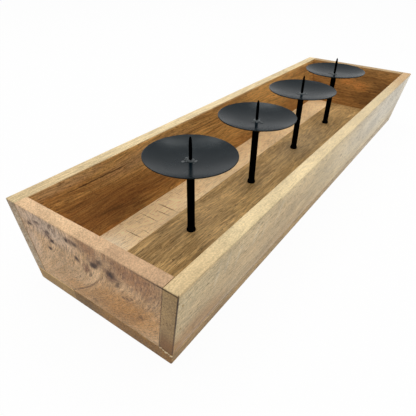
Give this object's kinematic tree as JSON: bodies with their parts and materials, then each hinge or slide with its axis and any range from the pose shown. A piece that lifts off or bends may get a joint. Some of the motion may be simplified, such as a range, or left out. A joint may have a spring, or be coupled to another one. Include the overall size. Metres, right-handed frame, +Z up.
{
  "type": "advent candle holder",
  "caption": "Long flared wooden tray with a row of black steel pricket stands: dished plates on stems, each with a spike for a pillar candle, screwed to the base.",
  "frame": {"origin": "on the table under the middle of the tray", "axes": "+X along the tray to its right end, +Y across it to its back, +Z up"},
  "size_m": [0.5592, 0.1638, 0.1058],
  "materials": {
    "side_wood": "oiled, fine planing marks",
    "end_wood": "oiled, figured with knots",
    "base_wood": "oiled",
    "pale_base_wood": "oiled",
    "black_steel": "satin black",
    "plain_steel": "zinc plated"
  },
  "bodies": {
    "tray": {"front_side_board": "side_wood", "back_side_board": "side_wood", "left_end_panel": "end_wood", "right_end_panel": "end_wood", "front_base_board": "base_wood", "back_base_board": "pale_base_wood", "corner_brads": "plain_steel", "base_brads": "plain_steel", "washers": "plain_steel"},
    "screw_1": {"fixing_screw_1": "plain_steel"},
    "stand_1": {"stem_1": "black_steel", "foot_collar_1": "black_steel", "candle_plate_1": "black_steel", "spike_1": "black_steel", "braze_bead_1": "black_steel"},
    "screw_2": {"fixing_screw_2": "plain_steel"},
    "stand_2": {"stem_2": "black_steel", "foot_collar_2": "black_steel", "candle_plate_2": "black_steel", "spike_2": "black_steel", "braze_bead_2": "black_steel"},
    "screw_3": {"fixing_screw_3": "plain_steel"},
    "stand_3": {"stem_3": "black_steel", "foot_collar_3": "black_steel", "candle_plate_3": "black_steel", "spike_3": "black_steel", "braze_bead_3": "black_steel"},
    "screw_4": {"fixing_screw_4": "plain_steel"},
    "stand_4": {"stem_4": "black_steel", "foot_collar_4": "black_steel", "candle_plate_4": "black_steel", "spike_4": "black_steel", "braze_bead_4": "black_steel"}
  },
  "joints": [
    {"name": "screw_1_turn", "type": "hinge", "parent": "tray", "child": "screw_1", "pos_m": [-0.1625, 0, 0.0037], "axis": [0, 0, -1], "range_deg": [0, 3601]},
    {"name": "stand_1_lift", "type": "slide", "parent": "tray", "child": "stand_1", "axis": [0, 0, 1], "range_m": [0, 0.007]},
    {"name": "screw_2_turn", "type": "hinge", "parent": "tray", "child": "screw_2", "pos_m": [-0.0515, 0, 0.0037], "axis": [0, 0, -1], "range_deg": [0, 3601]},
    {"name": "stand_2_lift", "type": "slide", "parent": "tray", "child": "stand_2", "axis": [0, 0, 1], "range_m": [0, 0.007]},
    {"name": "screw_3_turn", "type": "hinge", "parent": "tray", "child": "screw_3", "pos_m": [0.0595, 0, 0.0037], "axis": [0, 0, -1], "range_deg": [0, 3601]},
    {"name": "stand_3_lift", "type": "slide", "parent": "tray", "child": "stand_3", "axis": [0, 0, 1], "range_m": [0, 0.007]},
    {"name": "screw_4_turn", "type": "hinge", "parent": "tray", "child": "screw_4", "pos_m": [0.1705, 0, 0.0037], "axis": [0, 0, -1], "range_deg": [0, 3601]},
    {"name": "stand_4_lift", "type": "slide", "parent": "tray", "child": "stand_4", "axis": [0, 0, 1], "range_m": [0, 0.007]}
  ],
  "couplings": [
    {"joint": "screw_1_turn", "follows": "stand_1_lift", "rad_per_m": 8976},
    {"joint": "screw_2_turn", "follows": "stand_2_lift", "rad_per_m": 8976},
    {"joint": "screw_3_turn", "follows": "stand_3_lift", "rad_per_m": 8976},
    {"joint": "screw_4_turn", "follows": "stand_4_lift", "rad_per_m": 8976}
  ]
}
